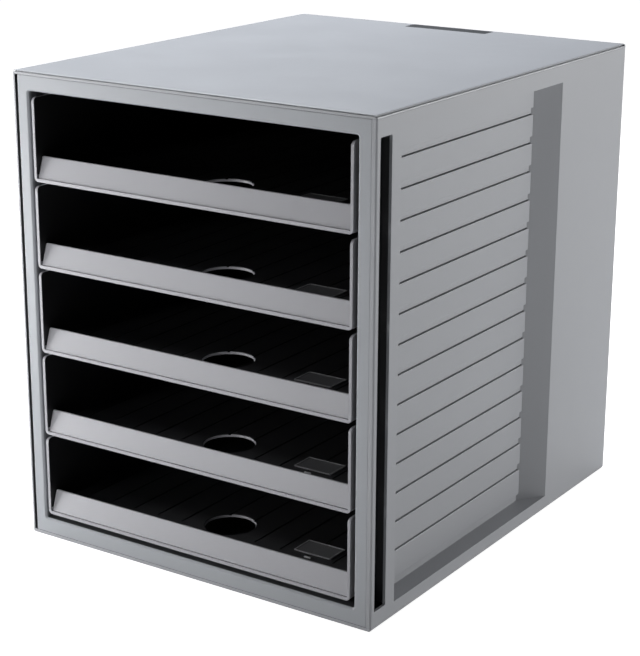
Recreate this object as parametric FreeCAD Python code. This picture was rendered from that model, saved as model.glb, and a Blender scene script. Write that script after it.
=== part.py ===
import FreeCAD, Part
import math
import os
from FreeCAD import Vector

# A desktop box with five open trays for letter paper. Millimetres, +Z up, front
# towards -Y, origin in the middle of the underside.

# Casing, outside
width = 275.0
depth = 330.0
height = 320.0
edge_round = 2.4
brow_round = 1.2
heel_round = 1.6

# Casing walls
cap_wall = 2.8
side_skin = 2.0
back_wall = 2.5
rib_wall = 1.6
rib_height = 3.0
rib_clearance = 0.15

# Shadow joint round the top plate, under its edge
seam_drop = 0.6
seam_height = 1.0
seam_depth = 2.0
seam_end = 2.0
front_seam_height = 0.5
front_seam_depth = 1.2

# Front frame and the casing edge that surrounds it
stile_width = 12.6
bottom_rail = 13.2
top_rail = 12.8
opening_round = 1.5
opening_ease = 1.2
frame_plate = 3.5
frame_ease = 0.25
frame_round = 0.8
jamb_wall = 2.0
jamb_depth = 8.0
rim_width = 3.5
thin_rim_width = 1.9
groove_width = 2.2

# Finger slot in each side, behind the front edge
slot_front = 3.9
slot_width = 12.8
slot_bottom = 12.4
slot_top_room = 13.5
slot_round = 1.2

# Recess in each side, with the slatted wall at its bottom
window_front = 27.0
window_rear_room = 97.5
window_slope = 17.5
window_bottom = 10.5
window_top_room = 14.0
recess_wall = 1.8
slat_count = 15
top_slat_height = 20.0
bottom_slat_height = 23.3
slit_height = 0.9
band_height = 4.7
band_depth = 1.0

# Slatted wall that carries the runners
runner_wall = 2.2
runner_front = 20.0
holder_width = 6.0

# Trays
tray_count = 5
tray_gap = 3.3
tray_end_gap = 3.9
tray_side_gap = 2.8
tray_rear_room = 5.5
tray_wall = 1.9
tray_round = 3.0
tray_corner_round = 3.0
tray_rear_round = 1.0
floor_top = 6.0
floor_wall = 2.0
sill_height = 2.2
sill_depth = 6.5

# Leaning lip at the front of each tray
lip_set_back = 1.3
lip_top = 16.4
lip_lean = 4.5
lip_wall = 2.0
lip_tip_round = 0.8
lip_end_gap = 0.5
lip_corner_round = 1.5
inner_round = 1.5

# Tray floor: lines and thumb hole
line_pairs = 6
line_side_room = 10.0
line_width = 1.4
line_depth = 0.9
line_front = 29.0
line_rear = 14.0
hole_radius = 17.0
hole_set_back = 43.0
hole_ease = 0.6

# Runners and the pull-out stop
side_clearance = 0.9
run_clearance = 0.3
runner_width = 6.7
runner_start = 14.0
runner_rear_room = 12.0
runner_round = 2.0
stop_width = 3.5
stop_length = 8.0
stop_rear = 60.0
lug_length = 6.0
lug_rear_room = 15.7
lug_gap = 0.4
lug_tip_gap = 0.6

# How far a cutting tool runs past the wall that it cuts
overrun = 5.0

# Places that follow from the sizes above
right = width / 2
left = -right
front = -depth / 2
back = depth / 2
wall_low = cap_wall
wall_high = height - cap_wall
opening_side = right - stile_width
opening_bottom = bottom_rail
opening_top = height - top_rail
slot_top = height - slot_top_room
window_top = height - window_top_room
window_length = depth - window_front - window_rear_room
slat_pitch = (window_top - window_bottom - top_slat_height - bottom_slat_height) / (slat_count - 2)
tray_side = opening_side - tray_side_gap
tray_inside = tray_side - tray_wall
tray_depth = depth - back_wall - tray_rear_room
line_pitch = (tray_inside - line_side_room) / (line_pairs - 0.5)
runner_inside = tray_side + side_clearance
runner_outside = runner_inside + runner_wall
recess_slope = window_slope / (right - runner_outside)
trays_height = opening_top - opening_bottom - 2 * tray_end_gap
tray_height = (trays_height - (tray_count - 1) * tray_gap) / tray_count
tray_pitch = tray_height + tray_gap
lowest_tray = opening_bottom + tray_end_gap
rail_height = tray_gap - 2 * run_clearance


def block(x0, x1, y0, y1, z0, z1):
    """A box between two opposite corners."""
    return Part.makeBox(x1 - x0, y1 - y0, z1 - z0, Vector(x0, y0, z0))


def on_x(x):
    """Places an outline's (u, v) as (Y, Z) at one X."""
    return lambda u, v: Vector(x, u, v)


def on_y(y):
    """Places an outline's (u, v) as (X, Z) at one Y."""
    return lambda u, v: Vector(u, y, v)


def on_z(z):
    """Places an outline's (u, v) as (X, Y) at one Z."""
    return lambda u, v: Vector(u, v, z)


def rounded_corner(before, corner, after, radius):
    """The three points of the arc that rounds one corner of an outline."""
    to_before = (before - corner).normalize()
    to_after = (after - corner).normalize()
    half_turn = to_before.getAngle(to_after) / 2
    reach = radius / math.tan(half_turn)
    middle = (to_before + to_after).normalize()
    centre = corner + middle * (radius / math.sin(half_turn))
    return corner + to_before * reach, centre - middle * radius, corner + to_after * reach


def outline(corners, place):
    """A closed face through corners (u, v, radius); radius zero stays sharp."""
    points = [place(u, v) for u, v, radius in corners]
    count = len(points)
    stations = []
    for index, point in enumerate(points):
        radius = corners[index][2]
        if radius > 0:
            stations.append(rounded_corner(points[index - 1], point, points[(index + 1) % count], radius))
        else:
            stations.append((point, None, point))
    edges = []
    for index, (start, middle, end) in enumerate(stations):
        if middle is not None:
            edges.append(Part.Arc(start, middle, end).toShape())
        following = stations[(index + 1) % count][0]
        edges.append(Part.makeLine(end, following))
    return Part.Face(Part.Wire(edges))


def rectangle(u0, u1, v0, v1, radii, place):
    """A rectangle with one radius per corner, counted from (u0, v0) anticlockwise."""
    corners = [(u0, v0, radii[0]), (u1, v0, radii[1]), (u1, v1, radii[2]), (u0, v1, radii[3])]
    return outline(corners, place)


def edges_where(shape, test):
    """The edges of a shape whose bounding box passes a test."""
    return [edge for edge in shape.Edges if test(edge.BoundBox)]


def mirrored(shape):
    """The same piece for the other side of the box."""
    return shape.mirror(Vector(0, 0, 0), Vector(1, 0, 0))


def casing_envelope():
    """The outside of the closed casing: the common part of its three rounded views."""
    face_view = rectangle(left, right, 0, height, [edge_round] * 4, on_y(front))
    plan_radii = [brow_round, brow_round, heel_round, heel_round]
    plan_view = rectangle(left, right, front, back, plan_radii, on_z(0))
    side_radii = [brow_round, edge_round, edge_round, brow_round]
    side_view = rectangle(front, back, 0, height, side_radii, on_x(left))
    solid = face_view.extrude(Vector(0, depth, 0))
    solid = solid.common(plan_view.extrude(Vector(0, 0, height)))
    return solid.common(side_view.extrude(Vector(width, 0, 0)))


def locating_ribs(z0, z1):
    """A rib along the inner foot or head of each slatted wall."""
    inner = runner_inside - rib_clearance
    y0 = front + window_front
    y1 = back - back_wall - rib_wall
    return [block(x, x + rib_wall, y0, y1, z0, z1) for x in (-inner, inner - rib_wall)]


def base_panel(envelope):
    """Flat base with low ribs on its inside."""
    plate = envelope.common(block(left, right, front, back, 0, wall_low))
    return plate.fuse(locating_ribs(wall_low, wall_low + rib_height)).removeSplitter()


def top_panel(envelope):
    """Flat top with low ribs on its inside and a shadow joint under its front and side edges."""
    plate = envelope.common(block(left, right, front, back, wall_high, height))
    seam_top = height - seam_drop
    seam_sides = [(left - overrun, left + seam_depth), (right - seam_depth, right + overrun)]
    seams = [block(x0, x1, front - overrun, back - seam_end, seam_top - seam_height, seam_top)
             for x0, x1 in seam_sides]
    seams.append(block(left - overrun, right + overrun, front - overrun, front + front_seam_depth,
                       seam_top - front_seam_height, seam_top))
    plate = plate.cut(seams)
    return plate.fuse(locating_ribs(wall_high - rib_height, wall_high)).removeSplitter()


def back_panel(envelope):
    """Rear wall between the side skins, with two ribs that the closed trays stop at."""
    x = right - side_skin
    wall = envelope.common(block(-x, x, back - back_wall, back, wall_low, wall_high))
    stop_face = front + tray_depth + run_clearance
    for rib_x in (-opening_side / 2, opening_side / 2):
        rib = block(rib_x - rib_wall / 2, rib_x + rib_wall / 2, stop_face, back - back_wall,
                    opening_bottom, opening_top)
        wall = wall.fuse(rib)
    return wall.removeSplitter()


def recess_void(reach_in, reach_out, grow, z0, z1):
    """The space of the side recess between two heights, or that space grown by a wall."""
    rear = front + window_front + window_length
    widen = grow * math.hypot(recess_slope, 1)
    near = front + window_front - grow
    x_in = runner_outside - reach_in
    x_out = right + reach_out
    plan = [
        (x_in, near, 0),
        (x_out, near, 0),
        (x_out, rear + recess_slope * reach_out + widen, 0),
        (x_in, rear - window_slope - recess_slope * reach_in + widen, 0),
    ]
    return outline(plan, on_z(z0)).extrude(Vector(0, 0, z1 - z0))


def side_panel(envelope, rim, groove):
    """Right side panel: outer skin, front rim, finger slot and the walls of the recess."""
    skin = envelope.common(block(right - side_skin, right, front, back, wall_low, wall_high))
    rim_block = block(right - rim, right, front, front + frame_plate, wall_low, wall_high)
    panel = skin.fuse(envelope.common(rim_block))
    if groove:
        clear = block(right - side_skin - overrun, right - rim, front - overrun, front + slot_front,
                      wall_low - overrun, wall_high + overrun)
        panel = panel.cut(clear)
    tub = recess_void(0, 0, recess_wall, window_bottom - recess_wall, window_top + recess_wall)
    panel = panel.fuse(tub).cut(recess_void(overrun, overrun, 0, window_bottom, window_top))
    slot = rectangle(front + slot_front, front + slot_front + slot_width,
                     slot_bottom, slot_top, [slot_round] * 4, on_x(right - side_skin - overrun))
    panel = panel.cut(slot.extrude(Vector(side_skin + 2 * overrun, 0, 0)))
    return panel.removeSplitter()


def front_frame():
    """Ring round the trays: a front plate with a jamb that runs back from the opening."""
    x0 = left + thin_rim_width + groove_width
    x1 = right - rim_width
    plate = rectangle(x0, x1, wall_low, wall_high, [frame_round] * 4, on_y(front))
    plate = plate.extrude(Vector(0, frame_plate, 0))
    jamb = rectangle(-opening_side - jamb_wall, opening_side + jamb_wall, opening_bottom - jamb_wall,
                     opening_top + jamb_wall, [edge_round] * 4, on_y(front))
    jamb = jamb.extrude(Vector(0, jamb_depth, 0))
    hole = rectangle(-opening_side, opening_side, opening_bottom, opening_top,
                     [opening_round] * 4, on_y(front - overrun))
    hole = hole.extrude(Vector(0, jamb_depth + 2 * overrun, 0))
    ring = plate.fuse(jamb).cut(hole).removeSplitter()
    reach = opening_side + jamb_wall / 2
    mouth = edges_where(ring, lambda box: box.YMax < front + frame_ease and max(-box.XMin, box.XMax) < reach)
    ring = ring.makeChamfer(opening_ease, mouth)
    rim = edges_where(ring, lambda box: box.YMax < front + frame_ease and max(-box.XMin, box.XMax) > reach)
    return ring.makeChamfer(frame_ease, rim)


def slatted_wall():
    """Right inner wall: slats with a set-back band and a slit below each, and a holding ledge on top."""
    y0 = front + runner_front
    y1 = back - back_wall
    wall = block(runner_inside, runner_outside, y0, y1, wall_low, wall_high)
    slit_y0 = front + window_front
    slit_y1 = slit_y0 + window_length - window_slope - recess_slope * band_depth
    cuts = []
    for index in range(slat_count):
        slit_z = window_top - top_slat_height - index * slat_pitch
        if index == slat_count - 1:
            slit_z = window_bottom
        cuts.append(recess_void(band_depth, overrun, 0, slit_z, slit_z + band_height))
        if index < slat_count - 1:
            slit = block(runner_inside - overrun, runner_outside + overrun, slit_y0, slit_y1,
                         slit_z, slit_z + slit_height)
            cuts.append(slit)
    wall = wall.cut(cuts)
    ledge_x = runner_inside - holder_width
    ledge_z = lowest_tray + trays_height + run_clearance
    ledge = block(ledge_x, runner_inside, y0, y1 - rib_wall, ledge_z, ledge_z + rail_height)
    return wall.fuse(ledge).removeSplitter()


def tray_rail(z_top):
    """Right runner of one tray: a flat strip with the stop that the tray's lug meets."""
    x0 = runner_inside - runner_width
    y0 = front + runner_start
    y1 = back - runner_rear_room
    stop_y1 = front + stop_rear
    stop_y0 = stop_y1 - stop_length
    plan = [
        (runner_inside, y0, 0),
        (runner_inside, y1, 0),
        (x0, y1, runner_round),
        (x0, stop_y1, 0),
        (x0 - stop_width, stop_y1, 0),
        (x0 - stop_width, stop_y0, 0),
        (x0, stop_y0 - stop_width, 0),
        (x0, y0, runner_round),
    ]
    return outline(plan, on_z(z_top - rail_height)).extrude(Vector(0, 0, rail_height))


def tray_pan():
    """Sill, floor and rear wall of a tray as one section drawn from the side."""
    y_rear = front + tray_depth
    floor_low = floor_top - floor_wall
    section = [
        (front, 0, 0),
        (front, sill_height, 0),
        (front + sill_depth, sill_height, 0),
        (front + sill_depth, floor_top, 0),
        (y_rear - tray_wall, floor_top, inner_round),
        (y_rear - tray_wall, tray_height, 0),
        (y_rear, tray_height, 0),
        (y_rear, 0, 0),
        (y_rear - tray_wall, 0, 0),
        (y_rear - tray_wall, floor_low, 0),
        (front + sill_depth + floor_wall, floor_low, 0),
        (front + sill_depth + floor_wall, 0, 0),
    ]
    return outline(section, on_x(-tray_inside)).extrude(Vector(2 * tray_inside, 0, 0))


def tray_lip():
    """The leaning lip, which stands on the sill between the side walls."""
    half = tray_inside - lip_end_gap
    rise = lip_top - sill_height
    lean = math.hypot(lip_lean, rise)
    back_step = lip_wall * rise / lean
    drop = lip_wall * lip_lean / lean
    foot_y = front + lip_set_back
    section = [
        (foot_y, 0, 0),
        (foot_y, sill_height, 0),
        (foot_y + lip_lean, lip_top, lip_tip_round),
        (foot_y + lip_lean + back_step, lip_top - drop, lip_tip_round),
        (front + sill_depth + floor_wall, floor_top, 0),
        (front + sill_depth + floor_wall, 0, 0),
    ]
    lip = outline(section, on_x(-half)).extrude(Vector(2 * half, 0, 0))
    face = [
        (-half, 0, 0),
        (half, 0, 0),
        (half, lip_top, lip_corner_round),
        (-half, lip_top, lip_corner_round),
    ]
    return lip.common(outline(face, on_y(front)).extrude(Vector(0, tray_depth, 0)))


def tray_side_wall():
    """Right side wall, with the round upper corner that shows at the front."""
    radii = [0, tray_rear_round, tray_rear_round, tray_corner_round]
    face = rectangle(front, front + tray_depth, 0, tray_height, radii, on_x(tray_inside))
    return face.extrude(Vector(tray_wall, 0, 0))


def tray_lug():
    """Right stop lug under the floor, which meets the runner's stop when the tray is out."""
    x1 = runner_inside - runner_width - lug_gap
    x0 = x1 - stop_width
    y1 = front + tray_depth - lug_rear_room
    z0 = lug_tip_gap - tray_gap
    return block(x0, x1, y1 - lug_length, y1, z0, floor_top - floor_wall)


def tray():
    """One tray, resting at Z zero."""
    wall = tray_side_wall()
    lug = tray_lug()
    body = tray_pan().fuse([tray_lip(), wall, mirrored(wall), lug, mirrored(lug)])
    section = rectangle(-tray_side, tray_side, 0, tray_height, [tray_round, tray_round, 0, 0], on_y(front))
    trimmed = body.common(section.extrude(Vector(0, tray_depth, 0)))
    below = block(left, right, front, back, -tray_gap, 0)
    hanging = [piece.common(below) for piece in (lug, mirrored(lug))]
    body = trimmed.fuse(hanging)
    cuts = []
    for pair in range(line_pairs):
        x = pair * line_pitch + line_pitch / 2
        for middle in (-x, x):
            cuts.append(block(middle - line_width / 2, middle + line_width / 2, front + line_front,
                              front + tray_depth - line_rear, floor_top - line_depth, floor_top + overrun))
    foot = Vector(0, front + hole_set_back, floor_top - floor_wall - overrun)
    cuts.append(Part.makeCylinder(hole_radius, floor_wall + 2 * overrun, foot))
    ease_foot = Vector(0, front + hole_set_back, floor_top - hole_ease)
    cuts.append(Part.makeCone(hole_radius, hole_radius + 2 * hole_ease, 2 * hole_ease, ease_foot))
    return body.cut(cuts).removeSplitter()


def write(name, shape):
    """Write one piece as parts/NAME.step."""
    if len(shape.Solids) != 1 or not shape.isValid():
        raise ValueError(name + " is not one sound solid")
    shape.Solids[0].exportStep("parts/" + name + ".step")


os.makedirs("parts", exist_ok=True)
outside = casing_envelope()
write("base_panel", base_panel(outside))
write("top_panel", top_panel(outside))
write("back_panel", back_panel(outside))
write("right_side_panel", side_panel(outside, rim_width, False))
write("left_side_panel", mirrored(side_panel(outside, thin_rim_width, True)))
write("front_frame", front_frame())
inner_wall = slatted_wall()
write("right_slatted_wall", inner_wall)
write("left_slatted_wall", mirrored(inner_wall))
one_tray = tray()
for number in range(tray_count):
    tray_z = lowest_tray + (tray_count - 1 - number) * tray_pitch
    rail = tray_rail(tray_z - run_clearance)
    write("right_rail_" + str(number + 1), rail)
    write("left_rail_" + str(number + 1), mirrored(rail))
    write("tray_" + str(number + 1), one_tray.translated(Vector(0, 0, tray_z)))
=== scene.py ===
import math

import bmesh
import bpy
from mathutils import Matrix, Vector


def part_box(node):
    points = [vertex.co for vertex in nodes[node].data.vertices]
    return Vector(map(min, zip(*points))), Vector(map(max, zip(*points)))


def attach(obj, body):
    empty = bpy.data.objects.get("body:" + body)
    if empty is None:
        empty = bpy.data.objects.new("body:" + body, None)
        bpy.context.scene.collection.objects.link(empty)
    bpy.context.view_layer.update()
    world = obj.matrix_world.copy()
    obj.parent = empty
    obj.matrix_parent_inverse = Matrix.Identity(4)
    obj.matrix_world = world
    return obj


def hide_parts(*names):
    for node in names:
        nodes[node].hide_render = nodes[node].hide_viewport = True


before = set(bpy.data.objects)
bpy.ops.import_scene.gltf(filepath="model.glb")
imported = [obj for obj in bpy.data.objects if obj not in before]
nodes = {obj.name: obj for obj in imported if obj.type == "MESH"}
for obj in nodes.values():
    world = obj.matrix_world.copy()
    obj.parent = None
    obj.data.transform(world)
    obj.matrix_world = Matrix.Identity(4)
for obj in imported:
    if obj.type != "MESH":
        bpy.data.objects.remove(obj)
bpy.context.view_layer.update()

# Base, top and back: flat plates of light grey polystyrene, injection moulded with a
# fine spark-eroded grain. Their outer edges are rounded in the mould, and the plates snap
# together with the side panels, edge to edge.
MM = 0.001


class Value:
    """A shader socket that can be used in sums like a number."""

    def __init__(self, tree, socket):
        self.tree = tree
        self.socket = socket

    def _math(self, operation, first, second):
        out = self.tree.add("ShaderNodeMath", {"operation": operation}, {0: first, 1: second})
        return Value(self.tree, out.outputs[0])

    def __add__(self, other):
        return self._math("ADD", self, other)

    def __sub__(self, other):
        return self._math("SUBTRACT", self, other)

    def __rsub__(self, other):
        return self._math("SUBTRACT", other, self)

    def __mul__(self, other):
        return self._math("MULTIPLY", self, other)

    def __abs__(self):
        return self._math("ABSOLUTE", self, 0.0)

    def __mod__(self, other):
        return self._math("FLOORED_MODULO", self, other)

    def above(self, limit):
        """One where the value is greater than the limit, otherwise zero."""
        return self._math("GREATER_THAN", self, limit)

    def below(self, limit):
        """One where the value is less than the limit, otherwise zero."""
        return self._math("LESS_THAN", self, limit)

    def ramp(self, start, end):
        """Rises smoothly from 0 at one value to 1 at another."""
        node = self.tree.add("ShaderNodeMapRange", {"interpolation_type": "SMOOTHSTEP", "clamp": True},
                             {"Value": self, "From Min": start, "From Max": end})
        return Value(self.tree, node.outputs["Result"])


class Tree:
    """A node tree, and the one way in which nodes are added to it."""

    def __init__(self, node_tree):
        self.nodes = node_tree.nodes
        self.links = node_tree.links
        self.nodes.clear()

    def add(self, kind, settings=None, sockets=None):
        """A node with its settings made first, then the values or links of its sockets."""
        node = self.nodes.new(kind)
        for key, setting in (settings or {}).items():
            setattr(node, key, setting)
        for key, value in (sockets or {}).items():
            target = node.inputs[key]
            if isinstance(value, Value):
                self.links.new(value.socket, target)
            elif isinstance(value, bpy.types.NodeSocket):
                self.links.new(value, target)
            else:
                target.default_value = value
        return node


def grey(level):
    """A neutral colour of one level."""
    return (level, level, level, 1.0)


class Finish(Tree):
    """One material."""

    def __init__(self, name):
        self.material = bpy.data.materials.new(name)
        self.material.use_nodes = True
        super().__init__(self.material.node_tree)

    def own_place(self):
        """The point's place on its own piece, as a link."""
        return self.add("ShaderNodeTexCoord").outputs["Object"]

    def noise(self, scale, detail=2.0, roughness=0.5):
        """Noise on the piece's own place, as a value from 0 to 1."""
        node = self.add("ShaderNodeTexNoise", {"normalize": True},
                        {"Vector": self.own_place(), "Scale": scale, "Detail": detail,
                         "Roughness": roughness})
        return Value(self, node.outputs["Fac"])

    def place(self):
        """The point's own X, Y and Z in millimetres."""
        split = self.add("ShaderNodeSeparateXYZ", None, {0: self.own_place()})
        return [Value(self, socket) * 1000.0 for socket in split.outputs]

    def mix(self, share, first, second):
        """A colour between two colours or links."""
        node = self.add("ShaderNodeMix", {"data_type": "RGBA"},
                        {"Factor": share, "A": first, "B": second})
        return node.outputs["Result"]

    def dulled(self, tone, inside, share):
        """A tone taken down to a share of itself where the inside value is 1: painted shade inside the
        box, and the darker field of the plate place.
        """
        shade = self.mix(inside, grey(1.0), grey(share))
        node = self.add("ShaderNodeMix", {"data_type": "RGBA", "blend_type": "MULTIPLY"},
                        {"Factor": 1.0, "A": tone, "B": shade})
        return node.outputs["Result"]

    def bump(self, height, strength, depth):
        """The normal of a fine relief."""
        node = self.add("ShaderNodeBump", None,
                        {"Strength": strength, "Distance": depth, "Height": height})
        return node.outputs["Normal"]

    def surface(self, colour, roughness, normal):
        """The closing Principled shader, with the weak mirror of a satin plastic."""
        shader = self.add("ShaderNodeBsdfPrincipled", None,
                          {"Base Color": colour, "Roughness": roughness, "Normal": normal,
                           "Specular IOR Level": mirror_level})
        self.add("ShaderNodeOutputMaterial", None, {"Surface": shader.outputs["BSDF"]})
        return self.material


mirror_level = 0.35
flow_scale, fine_scale, speck_scale, smudge_scale = 9.0, 2600.0, 900.0, 26.0
flow_darkest, flow_lightest = 0.962, 1.03
main_share, speck_share = 0.7, 0.3
grain_strength, grain_depth = 0.05, 0.2 * MM
smudge_strength = 0.14
# painted shade: the share of its colour that the plastic keeps inside the box
painted_shade_share = 0.15


def moulded_plastic(name, colour, gloss=0.40, inside=None, share=painted_shade_share):
    """Satin polystyrene: faint flow marks, a fine spark-eroded grain and handling smudges in its
    sheen. Where a function of X, Y and Z in millimetres says so, the colour is taken down as painted
    shade, for the inside of the box that little light reaches."""
    finish = Finish(name)
    cloud = finish.noise(flow_scale, 3.0)
    fine = finish.noise(fine_scale, 1.0)
    speck = finish.noise(speck_scale, 4.0, 0.7)
    darker = [channel * flow_darkest for channel in colour] + [1.0]
    lighter = [channel * flow_lightest for channel in colour] + [1.0]
    tone = finish.mix(cloud * main_share + speck * speck_share, darker, lighter)
    # painted shade: the colour is taken down where the inside function is 1
    if inside:
        tone = finish.dulled(tone, inside(*finish.place()), share)
    smudge = finish.noise(smudge_scale, 5.0, 0.62)
    roughness = smudge * smudge_strength + (gloss - smudge_strength / 2)
    relief = fine * main_share + speck * speck_share
    return finish.surface(tone, roughness, finish.bump(relief, grain_strength, grain_depth))


weld_distance, flat_angle, sharp_angle = 0.002 * MM, math.radians(1.5), math.radians(32)


def welded(node):
    """A copy of a node's solid with its loose triangles joined into whole faces."""
    mesh = nodes[node].data.copy()
    shell = bmesh.new()
    shell.from_mesh(mesh)
    bmesh.ops.remove_doubles(shell, verts=shell.verts, dist=weld_distance)
    bmesh.ops.dissolve_limit(shell, angle_limit=flat_angle, verts=shell.verts, edges=shell.edges)
    shell.to_mesh(mesh)
    shell.free()
    mesh.materials.clear()
    return mesh


def placed(name, data):
    """An object of the scene for a mesh, a lamp or the camera."""
    piece = bpy.data.objects.new(name, data)
    bpy.context.scene.collection.objects.link(piece)
    return piece


def plain_mesh(piece):
    """The evaluated mesh of an object, which then leaves the scene."""
    depsgraph = bpy.context.evaluated_depsgraph_get()
    mesh = bpy.data.meshes.new_from_object(piece.evaluated_get(depsgraph), depsgraph=depsgraph)
    bpy.data.objects.remove(piece)
    return mesh


def soften(piece, softness, material, segments=3, wider=None):
    """Breaks the mould edges with a small round and gives the piece its plastic. A function of an
    edge's middle in millimetres may give a wider round, or nothing."""
    mesh = piece.data
    mesh.materials.clear()
    mesh.materials.append(material)
    for polygon in mesh.polygons:
        polygon.material_index = 0
        polygon.use_smooth = True
    widths = []
    shell = bmesh.new()
    shell.from_mesh(mesh)
    for edge in shell.edges:
        turn = edge.calc_face_angle(0.0) if len(edge.link_faces) == 2 else 0.0
        width = 0.0
        if turn > sharp_angle:
            middle = (edge.verts[0].co + edge.verts[1].co) / (2 * MM)
            width = max(softness, wider(middle) if wider else 0.0)
        widths.append(width)
    shell.free()
    widest = max(widths)
    share = mesh.attributes.new("bevel_weight_edge", "FLOAT", "EDGE")
    for index, width in enumerate(widths):
        share.data[index].value = width / widest
    bevel = piece.modifiers.new("mould edges", "BEVEL")
    bevel.width = widest
    bevel.segments = segments
    bevel.limit_method = "WEIGHT"
    bevel.harden_normals = True
    even = piece.modifiers.new("flat faces stay flat", "WEIGHTED_NORMAL")
    even.mode = "FACE_AREA"
    even.weight = 100
    even.keep_sharp = True


def bar(outline, axis, low, high):
    """A closed bar: an outline of (u, v) pushed along X or Z. Millimetres."""
    place = {"X": lambda u, v, w: (w, u, v), "Z": lambda u, v, w: (u, v, w)}[axis]
    shell = bmesh.new()
    first = [shell.verts.new(Vector(place(u, v, low)) * MM) for u, v in outline]
    last = [shell.verts.new(Vector(place(u, v, high)) * MM) for u, v in outline]
    shell.faces.new(first)
    shell.faces.new(last)
    for index in range(len(outline)):
        after = (index + 1) % len(outline)
        shell.faces.new((first[index], first[after], last[after], last[index]))
    bmesh.ops.recalc_face_normals(shell, faces=shell.faces)
    mesh = bpy.data.meshes.new("bar")
    shell.to_mesh(mesh)
    shell.free()
    return mesh


corner_steps = 5


def rounded_box(u0, u1, v0, v1, radius):
    """A rectangle's outline with round corners, from (u0, v0) anticlockwise."""
    corners = [(u0, v0, 1, 1), (u1, v0, -1, 1), (u1, v1, -1, -1), (u0, v1, 1, -1)]
    outline = []
    for index, (u, v, into_u, into_v) in enumerate(corners):
        for step in range(corner_steps + 1):
            turn = math.pi * (1 + index / 2 + step / corner_steps / 2)
            outline.append((u + into_u * radius + radius * math.cos(turn),
                            v + into_v * radius + radius * math.sin(turn)))
    return outline


def carve(mesh, cutters):
    """Takes the cutters' space out of a mesh."""
    piece = placed("carved", mesh)
    tools = [placed("cutter", cutter) for cutter in cutters]
    for tool in tools:
        cut = piece.modifiers.new("cut", "BOOLEAN")
        cut.operation = "DIFFERENCE"
        cut.solver = "EXACT"
        cut.object = tool
    carved = plain_mesh(piece)
    for tool in tools:
        bpy.data.objects.remove(tool)
    return carved


def fit(piece, body, slot, *replaced):
    """Ties a finished piece to its body and hides the nodes that it stands for. The slot is not used.
    """
    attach(piece, body)
    if replaced:
        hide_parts(*replaced)


full_height, plate_edge = 320.0, 0.25 * MM
casing_grey = (0.347, 0.355, 0.375)
inner_low, inner_high, inner_back, skin_inside = 2.8, 317.2, 162.5, 135.5
near = 0.1


def plate_inside(x, y, z):
    """The faces of the plates that look into the box, where shade is painted."""
    return z.above(inner_low - near) * z.below(inner_high + near) * y.below(inner_back + near)


# The plates' faces inside the box are darkened with painted shade.
plate_plastic = moulded_plastic("casing plastic", casing_grey, inside=plate_inside)
for node in ("base_panel", "back_panel"):
    plate = placed("moulded_" + node, welded(node))
    soften(plate, plate_edge, plate_plastic)
    fit(plate, "casing", "casing", node)

# Name plate: a bare dark strip let into a shallow pocket near the back edge of the top,
# its face a hair below the surface. The top is the same moulding as the other plates.
strip_half, strip_front, strip_back, strip_gap, strip_edge = 34.0, 147.6, 161.4, 0.12, 0.12 * MM
pocket_depth, strip_sink, strip_thick, pocket_round, strip_round = 0.6, 0.06, 0.4, 0.8, 0.7
past = 3.0
pocket = bar(rounded_box(-strip_half, strip_half, strip_front, strip_back, pocket_round), "Z",
             full_height - pocket_depth, full_height + past)
top = placed("moulded_top_panel", carve(welded("top_panel"), [pocket]))
soften(top, plate_edge, plate_plastic)
fit(top, "casing", "casing", "top_panel")

enamel_dark, enamel_light = (0.045, 0.047, 0.051, 1.0), (0.066, 0.068, 0.073, 1.0)
enamel_gloss, enamel_cloudiness = 0.34, 0.1
strip_finish = Finish("dark plate enamel")
cloud = strip_finish.noise(40.0, 3.0)
speck = strip_finish.noise(1500.0, 3.0)
strip_material = strip_finish.surface(
    strip_finish.mix(cloud * 0.6 + speck * 0.4, enamel_dark, enamel_light),
    cloud * enamel_cloudiness + enamel_gloss, strip_finish.bump(speck, 0.08, 0.1 * MM))
strip_outline = rounded_box(-strip_half + strip_gap, strip_half - strip_gap, strip_front + strip_gap,
                            strip_back - strip_gap, strip_round)
strip_top = full_height - strip_sink
strip = placed("name_plate_bare", bar(strip_outline, "Z", strip_top - strip_thick, strip_top))
soften(strip, strip_edge, strip_material, 2)
fit(strip, "casing", "casing")

# Side panels: each one moulding with the outer skin, the rim round the front frame, the
# tall finger slot and the walls of the recess. The left one has a thinner rim, which
# leaves an open groove beside the frame.
recess_front, recess_back, recess_low, recess_high = -138.0, 50.0, 10.5, 306.0
recess_slope, wall_outside = 1.4228, 125.2
slot_front, slot_low, slot_high = -161.1, 12.4, 306.5
groove_outside, groove_inside, groove_mouth = -135.6, -133.4, -164.6
skin_outside, between_openings = 137.5, -140.0
panel_edge, slot_near_edge, slot_far_edge, recess_edge = 0.45 * MM, 1.3 * MM, 0.6 * MM, 0.8 * MM


def in_recess(x, y, z):
    """One for the walls and the bottom of the recess, whose rear wall slants."""
    slant = (y - abs(x) * recess_slope).below(recess_back - wall_outside * recess_slope + 4 * near)
    return (y.above(recess_front - near) * slant
            * z.above(recess_low - near) * z.below(recess_high + near))


def side_inside(x, y, z):
    """Painted shade: what lies behind the skin and the rim, without the recess, and the walls of the
    left groove.
    """
    behind = abs(x).below(skin_inside + near) * y.above(slot_front - near)
    groove = x.above(groove_outside - near) * x.below(0.0) * y.above(groove_mouth) * y.below(slot_front)
    return behind * (1.0 - in_recess(x, y, z)) + groove


def outer_opening(middle):
    """How far the outer edges of the slot and of the recess are rounded: more than the rest."""
    on_skin = abs(middle.x) > skin_outside - near and recess_low - near < middle.z < slot_high + near
    if on_skin and slot_front - near < middle.y < between_openings:
        at_hand = middle.y < slot_front + near or middle.z < slot_low + near
        return slot_near_edge if at_hand else slot_far_edge
    if on_skin and recess_front - near < middle.y < 2 * recess_back:
        return recess_edge
    return 0.0


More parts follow.
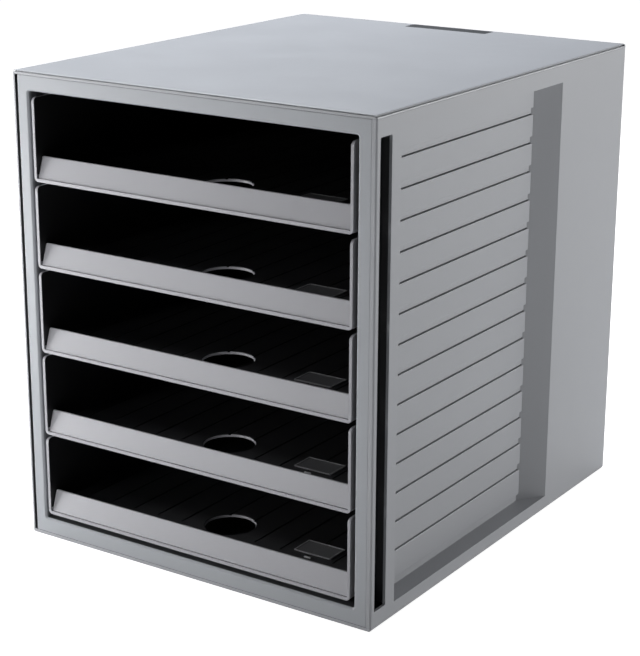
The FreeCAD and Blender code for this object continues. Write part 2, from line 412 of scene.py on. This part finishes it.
# painted shade darkens the panels behind the skin and in the left groove
side_plastic = moulded_plastic("side plastic", casing_grey, inside=side_inside)
for node in ("right_side_panel", "left_side_panel"):
    panel = placed("moulded_" + node, welded(node))
    soften(panel, panel_edge, side_plastic, 4, outer_opening)
    fit(panel, "casing", "casing", node)

# Front frame: the ring round the trays, moulded in one piece and pressed into the
# casing's mouth from the front. A fine joint line shows where it meets the casing.
frame_behind, opening_side, opening_low, opening_high = -161.5, 124.9, 13.2, 307.2
# painted shade in the frame's jamb and mouth: where it starts, where it is full, and how deep
jamb_light, jamb_dark, jamb_shade_share = -164.4, -160.5, 0.85
mouth_light, mouth_dark = -164.0, -163.2
chamfer_reach, chamfer_behind = 1.5, -163.0
frame_edge, chamfer_edge = 0.3 * MM, 0.6 * MM


def frame_inside(x, y, z):
    """Painted shade: the back of the frame's plate, the outside of its jamb, the depth of its mouth,
    where the shade comes in more slowly on the left jamb, and its side in the left groove."""
    mouth = (abs(x).below(opening_side + 2 * near) * z.above(opening_low - 2 * near)
             * z.below(opening_high + 2 * near))
    left_jamb = x.below(3 * near - opening_side)
    depth = (left_jamb * y.ramp(jamb_light, jamb_dark) * jamb_shade_share
             + (1.0 - left_jamb) * y.ramp(mouth_light, mouth_dark))
    groove = (x.below(groove_inside + near) * y.above(groove_mouth)
              * y.below(frame_behind - near))
    return y.above(frame_behind - near) * (1.0 - mouth) + mouth * depth + groove


def mouth_edge(middle):
    """How far the sloping face round the frame's mouth is rounded."""
    at_mouth = (middle.y < chamfer_behind and abs(middle.x) < opening_side + chamfer_reach
                and opening_low - chamfer_reach < middle.z < opening_high + chamfer_reach)
    return chamfer_edge if at_mouth else 0.0


# the frame's jamb, mouth and back are darkened with painted shade
frame_plastic = moulded_plastic("frame plastic", (0.344, 0.357, 0.380), inside=frame_inside)
ring = placed("moulded_front_frame", welded("front_frame"))
soften(ring, frame_edge, frame_plastic, 3, mouth_edge)
fit(ring, "casing", "frame", "front_frame")

# Slatted walls: the inner side walls, which show at the bottom of the recesses. Each is a
# stack of slats with a set-back band along the foot and a slit below; fourteen are alike,
# and a plain head with the holding ledge and a foot with a band of its own close the wall.
wall_inside, band_face, band_height, slat_edge = 123.0, 124.2, 4.7, 0.22 * MM
wall_front, wall_back, wall_foot, wall_head = -145.0, 162.5, 2.8, 317.2
slit_height, slat_pitch, slat_count, first_slit = 0.6, 19.4, 14, 33.8
ledge_inside, ledge_back, ledge_low, ledge_high = 117.0, 160.9, 303.6, 306.3


def slats_inside(x, y, z):
    """Painted shade on all of the wall except what shows at the bottom of the recess and in its slits.
    """
    return 1.0 - abs(x).above(wall_inside + near) * in_recess(x, y, z)


# the slatted walls are darkened with painted shade where they face the inside of the box
slat_plastic = moulded_plastic("slatted wall plastic", (0.343, 0.351, 0.370), inside=slats_inside)


def wall_bar(y0, y1, z0, z1, x0=wall_inside, x1=wall_outside):
    """A straight piece of the right wall."""
    return bar([(y0, z0), (y1, z0), (y1, z1), (y0, z1)], "X", x0, x1)


slit_back = recess_back - recess_slope * (wall_outside - band_face)


def band_cutter(z0):
    """The set-back band, whose rear end runs on in the slant of the recess."""
    plan = [(band_face, recess_front), (wall_outside + past, recess_front),
            (wall_outside + past, recess_back + recess_slope * past), (band_face, slit_back)]
    return bar(plan, "Z", z0, z0 + band_height)


def slat_stack_tree(material):
    """Stacks one slat upwards and adds the wall's head and foot."""
    group = bpy.data.node_groups.new("slat stack", "GeometryNodeTree")
    for name, kind in (("Slat", "Object"), ("Head", "Object"), ("Foot", "Object"),
                       ("Slat count", "Int"), ("Slat pitch", "Float")):
        group.interface.new_socket(name, in_out="INPUT", socket_type="NodeSocket" + kind)
    group.interface.new_socket("Geometry", in_out="OUTPUT", socket_type="NodeSocketGeometry")
    tree = Tree(group)
    given = tree.add("NodeGroupInput").outputs
    step = tree.add("ShaderNodeCombineXYZ", None, {"Z": given["Slat pitch"]})
    places = tree.add("GeometryNodeMeshLine", None,
                      {"Count": given["Slat count"], "Offset": step.outputs[0]})
    head, foot, slat = [tree.add("GeometryNodeObjectInfo", None, {"Object": given[name]})
                        for name in ("Head", "Foot", "Slat")]
    stack = tree.add("GeometryNodeInstanceOnPoints", None,
                     {"Points": places.outputs["Mesh"], "Instance": slat.outputs["Geometry"]})
    joined = tree.add("GeometryNodeJoinGeometry")
    for shape in (head.outputs["Geometry"], foot.outputs["Geometry"], stack.outputs["Instances"]):
        tree.links.new(shape, joined.inputs[0])
    real = tree.add("GeometryNodeRealizeInstances", None, {0: joined.outputs[0]})
    finish = tree.add("GeometryNodeSetMaterial", None,
                      {"Geometry": real.outputs[0], "Material": material})
    tree.add("NodeGroupOutput", None, {0: finish.outputs[0]})
    return group


def joined_mesh(meshes):
    """One mesh of several closed shells."""
    shell = bmesh.new()
    for mesh in meshes:
        shell.from_mesh(mesh)
    whole = bpy.data.meshes.new("joined")
    shell.to_mesh(whole)
    shell.free()
    return whole


slit_cutter = wall_bar(recess_front, slit_back, first_slit - past, first_slit + slit_height,
                       wall_inside - past, wall_outside + past)
one_slat = carve(wall_bar(wall_front, wall_back, first_slit, first_slit + slat_pitch),
                 [band_cutter(first_slit), slit_cutter])
wall_top = first_slit + slat_count * slat_pitch
head_mesh = joined_mesh([
    wall_bar(wall_front, wall_back, wall_top, wall_head),
    wall_bar(wall_front, ledge_back, ledge_low, ledge_high, ledge_inside, wall_inside)])
foot_mesh = carve(wall_bar(wall_front, wall_back, wall_foot, first_slit), [band_cutter(recess_low)])
parts = []
for name, mesh in (("Slat", one_slat), ("Head", head_mesh), ("Foot", foot_mesh)):
    part = placed(name, mesh)
    soften(part, slat_edge, slat_plastic, 2)
    parts.append(placed(name, plain_mesh(part)))
wall = placed("slats", bpy.data.meshes.new("slats"))
stacking = wall.modifiers.new("slat stack", "NODES")
stacking.node_group = slat_stack_tree(slat_plastic)
given = {item.name: item.identifier for item in stacking.node_group.interface.items_tree
         if item.in_out == "INPUT"}
for name, part in zip(("Slat", "Head", "Foot"), parts):
    stacking[given[name]] = part
stacking[given["Slat count"]] = slat_count
stacking[given["Slat pitch"]] = slat_pitch * MM
right_wall = plain_mesh(wall)
for part in parts:
    bpy.data.objects.remove(part)
left_wall = right_wall.copy()
left_wall.transform(Matrix.Scale(-1, 4, (1, 0, 0)))
left_wall.flip_normals()
for node, mesh in (("right_slatted_wall", right_wall), ("left_slatted_wall", left_wall)):
    fit(placed("stacked_" + node, mesh), "casing", "slatted_wall", node)

# Rails: flat strips on the slatted walls, one on each side under every tray, with the
# stop that keeps the tray from coming right out.
rail_edge = 0.3 * MM
# The rails lie inside the box and are darkened all over with painted shade.
rail_plastic = moulded_plastic("rail plastic", (0.335, 0.342, 0.360), inside=plate_inside)
for number in range(1, 6):
    for side in ("right", "left"):
        node = side + "_rail_" + str(number)
        rail = placed("moulded_" + node, welded(node))
        soften(rail, rail_edge, rail_plastic, 2)
        fit(rail, "casing", "rail", node)

# Trays: five like mouldings, each with floor, walls and a low lip that leans back. They
# slide on the rails, and a thumb hole in the floor lets the sheets be lifted. Inside, the
# colour is darkened with painted shade, which starts behind the lip and deepens backwards.
lowest_tray, tray_pitch, tray_height, floor_level, floor_underside = 17.1, 57.9, 54.6, 6.0, 4.5
# painted shade inside the trays: where it starts, deepens and ends, and the share of colour left
tray_inside, tray_rear, wall_shade_start, tray_edge = 120.2, 155.1, -164.5, 0.4 * MM
shade_start, shade_middle, shade_end, shade_first_share, tray_shade_share = -158.0, -138.0, -115.0, 0.88, 0.035
hole_middle, hole_radius = -122.0, 17.0


def tray_hollow(x, y, z):
    """Painted shade inside a tray: from the foot of the lip backwards, deepening towards the rear and
    full on the inner walls, above the floor's underside and without the wall of the thumb hole."""
    height_in_tray = (z - lowest_tray) % tray_pitch
    from_hole = x * x + (y - hole_middle) * (y - hole_middle)
    shade_amount = (y.ramp(shade_start, shade_middle) * shade_first_share
            + y.ramp(shade_middle, shade_end) * (1.0 - shade_first_share))
    on_wall = abs(x).above(tray_inside - near) * y.above(wall_shade_start)
    shade_amount = on_wall + shade_amount * (1.0 - on_wall)
    return (abs(x).below(tray_inside + near) * shade_amount * y.below(tray_rear + near)
            * height_in_tray.above(floor_underside) * from_hole.above((hole_radius + 2 * near) ** 2))


# the trays' insides are darkened with painted shade
tray_plastic = moulded_plastic("tray plastic", (0.352, 0.352, 0.375), inside=tray_hollow,
                               share=tray_shade_share)
for number in range(1, 6):
    node = "tray_" + str(number)
    tray = placed("moulded_" + node, welded(node))
    soften(tray, tray_edge, tray_plastic)
    fit(tray, node, "tray", node)

# Plate place: on each tray floor, near the front right, a small raised plate, left bare, with a
# thin lighter border, and in front of it a short raised mark coloured near-white, a painted glint. Both
# are part of the floor.
plate_left, plate_right, plate_front, plate_rear, plate_round = 58.0, 86.0, -132.0, -114.0, 1.0
plate_rise, border_width, border_rise, border_round = 0.45, 1.0, 0.25, 0.6
plate_gloss, field_share, sunk, small_edge = 0.36, 0.42, 0.3, 0.12 * MM
mark_left, mark_right, mark_front, mark_rear = 69.5, 74.5, -137.7, -136.3
mark_rise, mark_round = 0.6, 0.5


def plate_field(x, y, z):
    """One for the bare field inside the border."""
    return (x.above(plate_left + border_width) * x.below(plate_right - border_width)
            * y.above(plate_front + border_width) * y.below(plate_rear - border_width))


plate_plastic = moulded_plastic("plate place plastic", (0.30, 0.302, 0.312), plate_gloss,
                                plate_field, field_share)
# painted glint: a near-white colour on the small raised mark
glint_plastic = moulded_plastic("painted glint plastic", (0.80, 0.80, 0.82))
for number in range(1, 6):
    floor_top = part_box("tray_" + str(number))[1][2] / MM - tray_height + floor_level
    outer = rounded_box(plate_left, plate_right, plate_front, plate_rear, plate_round)
    inner = rounded_box(plate_left + border_width, plate_right - border_width,
                        plate_front + border_width, plate_rear - border_width, border_round)
    body = bar(outer, "Z", floor_top - sunk, floor_top + plate_rise + border_rise)
    field = bar(inner, "Z", floor_top + plate_rise, floor_top + plate_rise + past)
    mark = bar(rounded_box(mark_left, mark_right, mark_front, mark_rear, mark_round), "Z",
               floor_top - sunk, floor_top + mark_rise)
    for name, mesh, plastic in (("plate_place", carve(body, [field]), plate_plastic),
                                ("floor_mark", mark, glint_plastic)):
        piece = placed("tray_" + str(number) + "_" + name, mesh)
        soften(piece, small_edge, plastic, 2)
        fit(piece, "tray_" + str(number), "tray")

# Studio: a pale floor, near softboxes on the left that fade across the front, one overhead
# for the top, a weak one low in front and two on the right for the side and its recess. The
# camera sees the floor white; to all other rays it glows only a little, like lit paper.
object_middle, front_middle, front_foot = (0.0, 0.0, 0.16), (0.0, -0.165, 0.16), (0.0, -0.165, 0.0)
left_of_front = (-0.28, -0.165, 0.22)
open_box, gridded_box = math.radians(180.0), math.radians(60.0)
plain, cool = (1.0, 1.0, 1.0), (0.97, 1.0, 1.04)
softboxes = (  # name, place and aim in metres, side in metres, watts, spread, colour
    ("left softbox", (-1.00, -0.60, 0.40), object_middle, 0.5, 5.7, open_box, plain),
    ("low left softbox", (-0.55, -0.45, 0.05), front_middle, 0.3, 2.7, open_box, plain),
    ("front left softbox", (-0.35, -1.10, 0.36), left_of_front, 0.25, 0.6, gridded_box, plain),
    ("upper left softbox", (-1.20, 0.40, 1.00), object_middle, 0.8, 4.0, open_box, cool),
    ("top softbox", (-0.50, 0.30, 1.30), object_middle, 0.8, 23.5, open_box, cool),
    ("low front softbox", (0.05, -0.75, 0.03), front_foot, 0.3, 0.3, open_box, plain),
    ("right softbox", (1.80, 0.50, 0.30), object_middle, 0.8, 7.9, open_box, plain),
    ("rear right softbox", (1.20, 1.30, 0.45), object_middle, 0.5, 13.5, open_box, plain),
)
for name, place, aim, side, watts, spread, colour in softboxes:
    lamp = bpy.data.lights.new(name, "AREA")
    lamp.shape = "SQUARE"
    lamp.size = side
    lamp.energy = watts
    lamp.spread = spread
    lamp.color = colour
    holder = placed(name, lamp)
    holder.visible_camera = False
    holder.location = place
    holder.rotation_euler = (Vector(aim) - Vector(place)).to_track_quat("-Z", "Y").to_euler()

floor_size, near_floor, far_floor = 12.0, 350.0, 900.0
paper_level, glow_near, glow_far, bounce_level = 0.5, 0.9, 1.0, 0.25
bpy.ops.mesh.primitive_plane_add(size=floor_size, location=(0, 0, 0))
floor = bpy.context.object
floor.name = "studio_floor"
paper = Finish("studio floor")
seen = paper.add("ShaderNodeLightPath").outputs["Is Camera Ray"]
card = paper.add("ShaderNodeBsdfDiffuse", None, {"Color": grey(paper_level)}).outputs[0]
floor_x, floor_y, _ = paper.place()
far = (floor_x * floor_x + floor_y * floor_y).ramp(near_floor ** 2, far_floor ** 2)
white = paper.mix(far, grey(glow_near), grey(glow_far))
glow = paper.add("ShaderNodeEmission", None, {"Color": white, "Strength": 1.0})
bounce = paper.add("ShaderNodeEmission", None, {"Color": grey(bounce_level), "Strength": 1.0})
lit = paper.add("ShaderNodeAddShader", None, {0: card, 1: glow.outputs[0]})
lit_below = paper.add("ShaderNodeAddShader", None, {0: card, 1: bounce.outputs[0]})
mixed = paper.add("ShaderNodeMixShader", None,
                  {"Fac": seen, 1: lit_below.outputs[0], 2: lit.outputs[0]})
paper.add("ShaderNodeOutputMaterial", None, {"Surface": mixed.outputs[0]})
floor.data.materials.append(paper.material)

ambient_colour, ambient_strength = (0.9, 0.95, 1.0, 1.0), 0.03
world = bpy.data.worlds.new("studio")
bpy.context.scene.world = world
world.use_nodes = True
sky = Tree(world.node_tree)
seen = sky.add("ShaderNodeLightPath").outputs["Is Camera Ray"]
ambient = sky.add("ShaderNodeBackground", None, {"Color": ambient_colour, "Strength": ambient_strength})
backdrop = sky.add("ShaderNodeBackground", None, {"Color": grey(1.0), "Strength": 1.0})
chosen = sky.add("ShaderNodeMixShader", None,
                 {"Fac": seen, 1: ambient.outputs[0], 2: backdrop.outputs[0]})
sky.add("ShaderNodeOutputWorld", None, {"Surface": chosen.outputs[0]})

# Camera: where the photograph was taken from, with a long lens and no shift.
azimuth, elevation, roll = math.radians(33.63), math.radians(17.34), math.radians(-0.24)
focal_length, sensor_width, farthest = 100.03, 36.0, 50.0
camera_data = bpy.data.cameras.new("camera")
camera_data.lens = focal_length
camera_data.sensor_width = sensor_width
camera_data.sensor_fit = "AUTO"
camera_data.clip_end = farthest
camera = placed("camera", camera_data)
view_line = Vector((-math.sin(azimuth) * math.cos(elevation),
                    math.cos(azimuth) * math.cos(elevation), -math.sin(elevation)))
camera.rotation_mode = "QUATERNION"
turn = Matrix.Rotation(-roll, 3, "Z").to_quaternion()
camera.rotation_quaternion = view_line.to_track_quat("-Z", "Y") @ turn
camera.location = (0.6692, -1.0214, 0.5099)
bpy.context.scene.camera = camera
bpy.context.scene.view_settings.view_transform = "Standard"
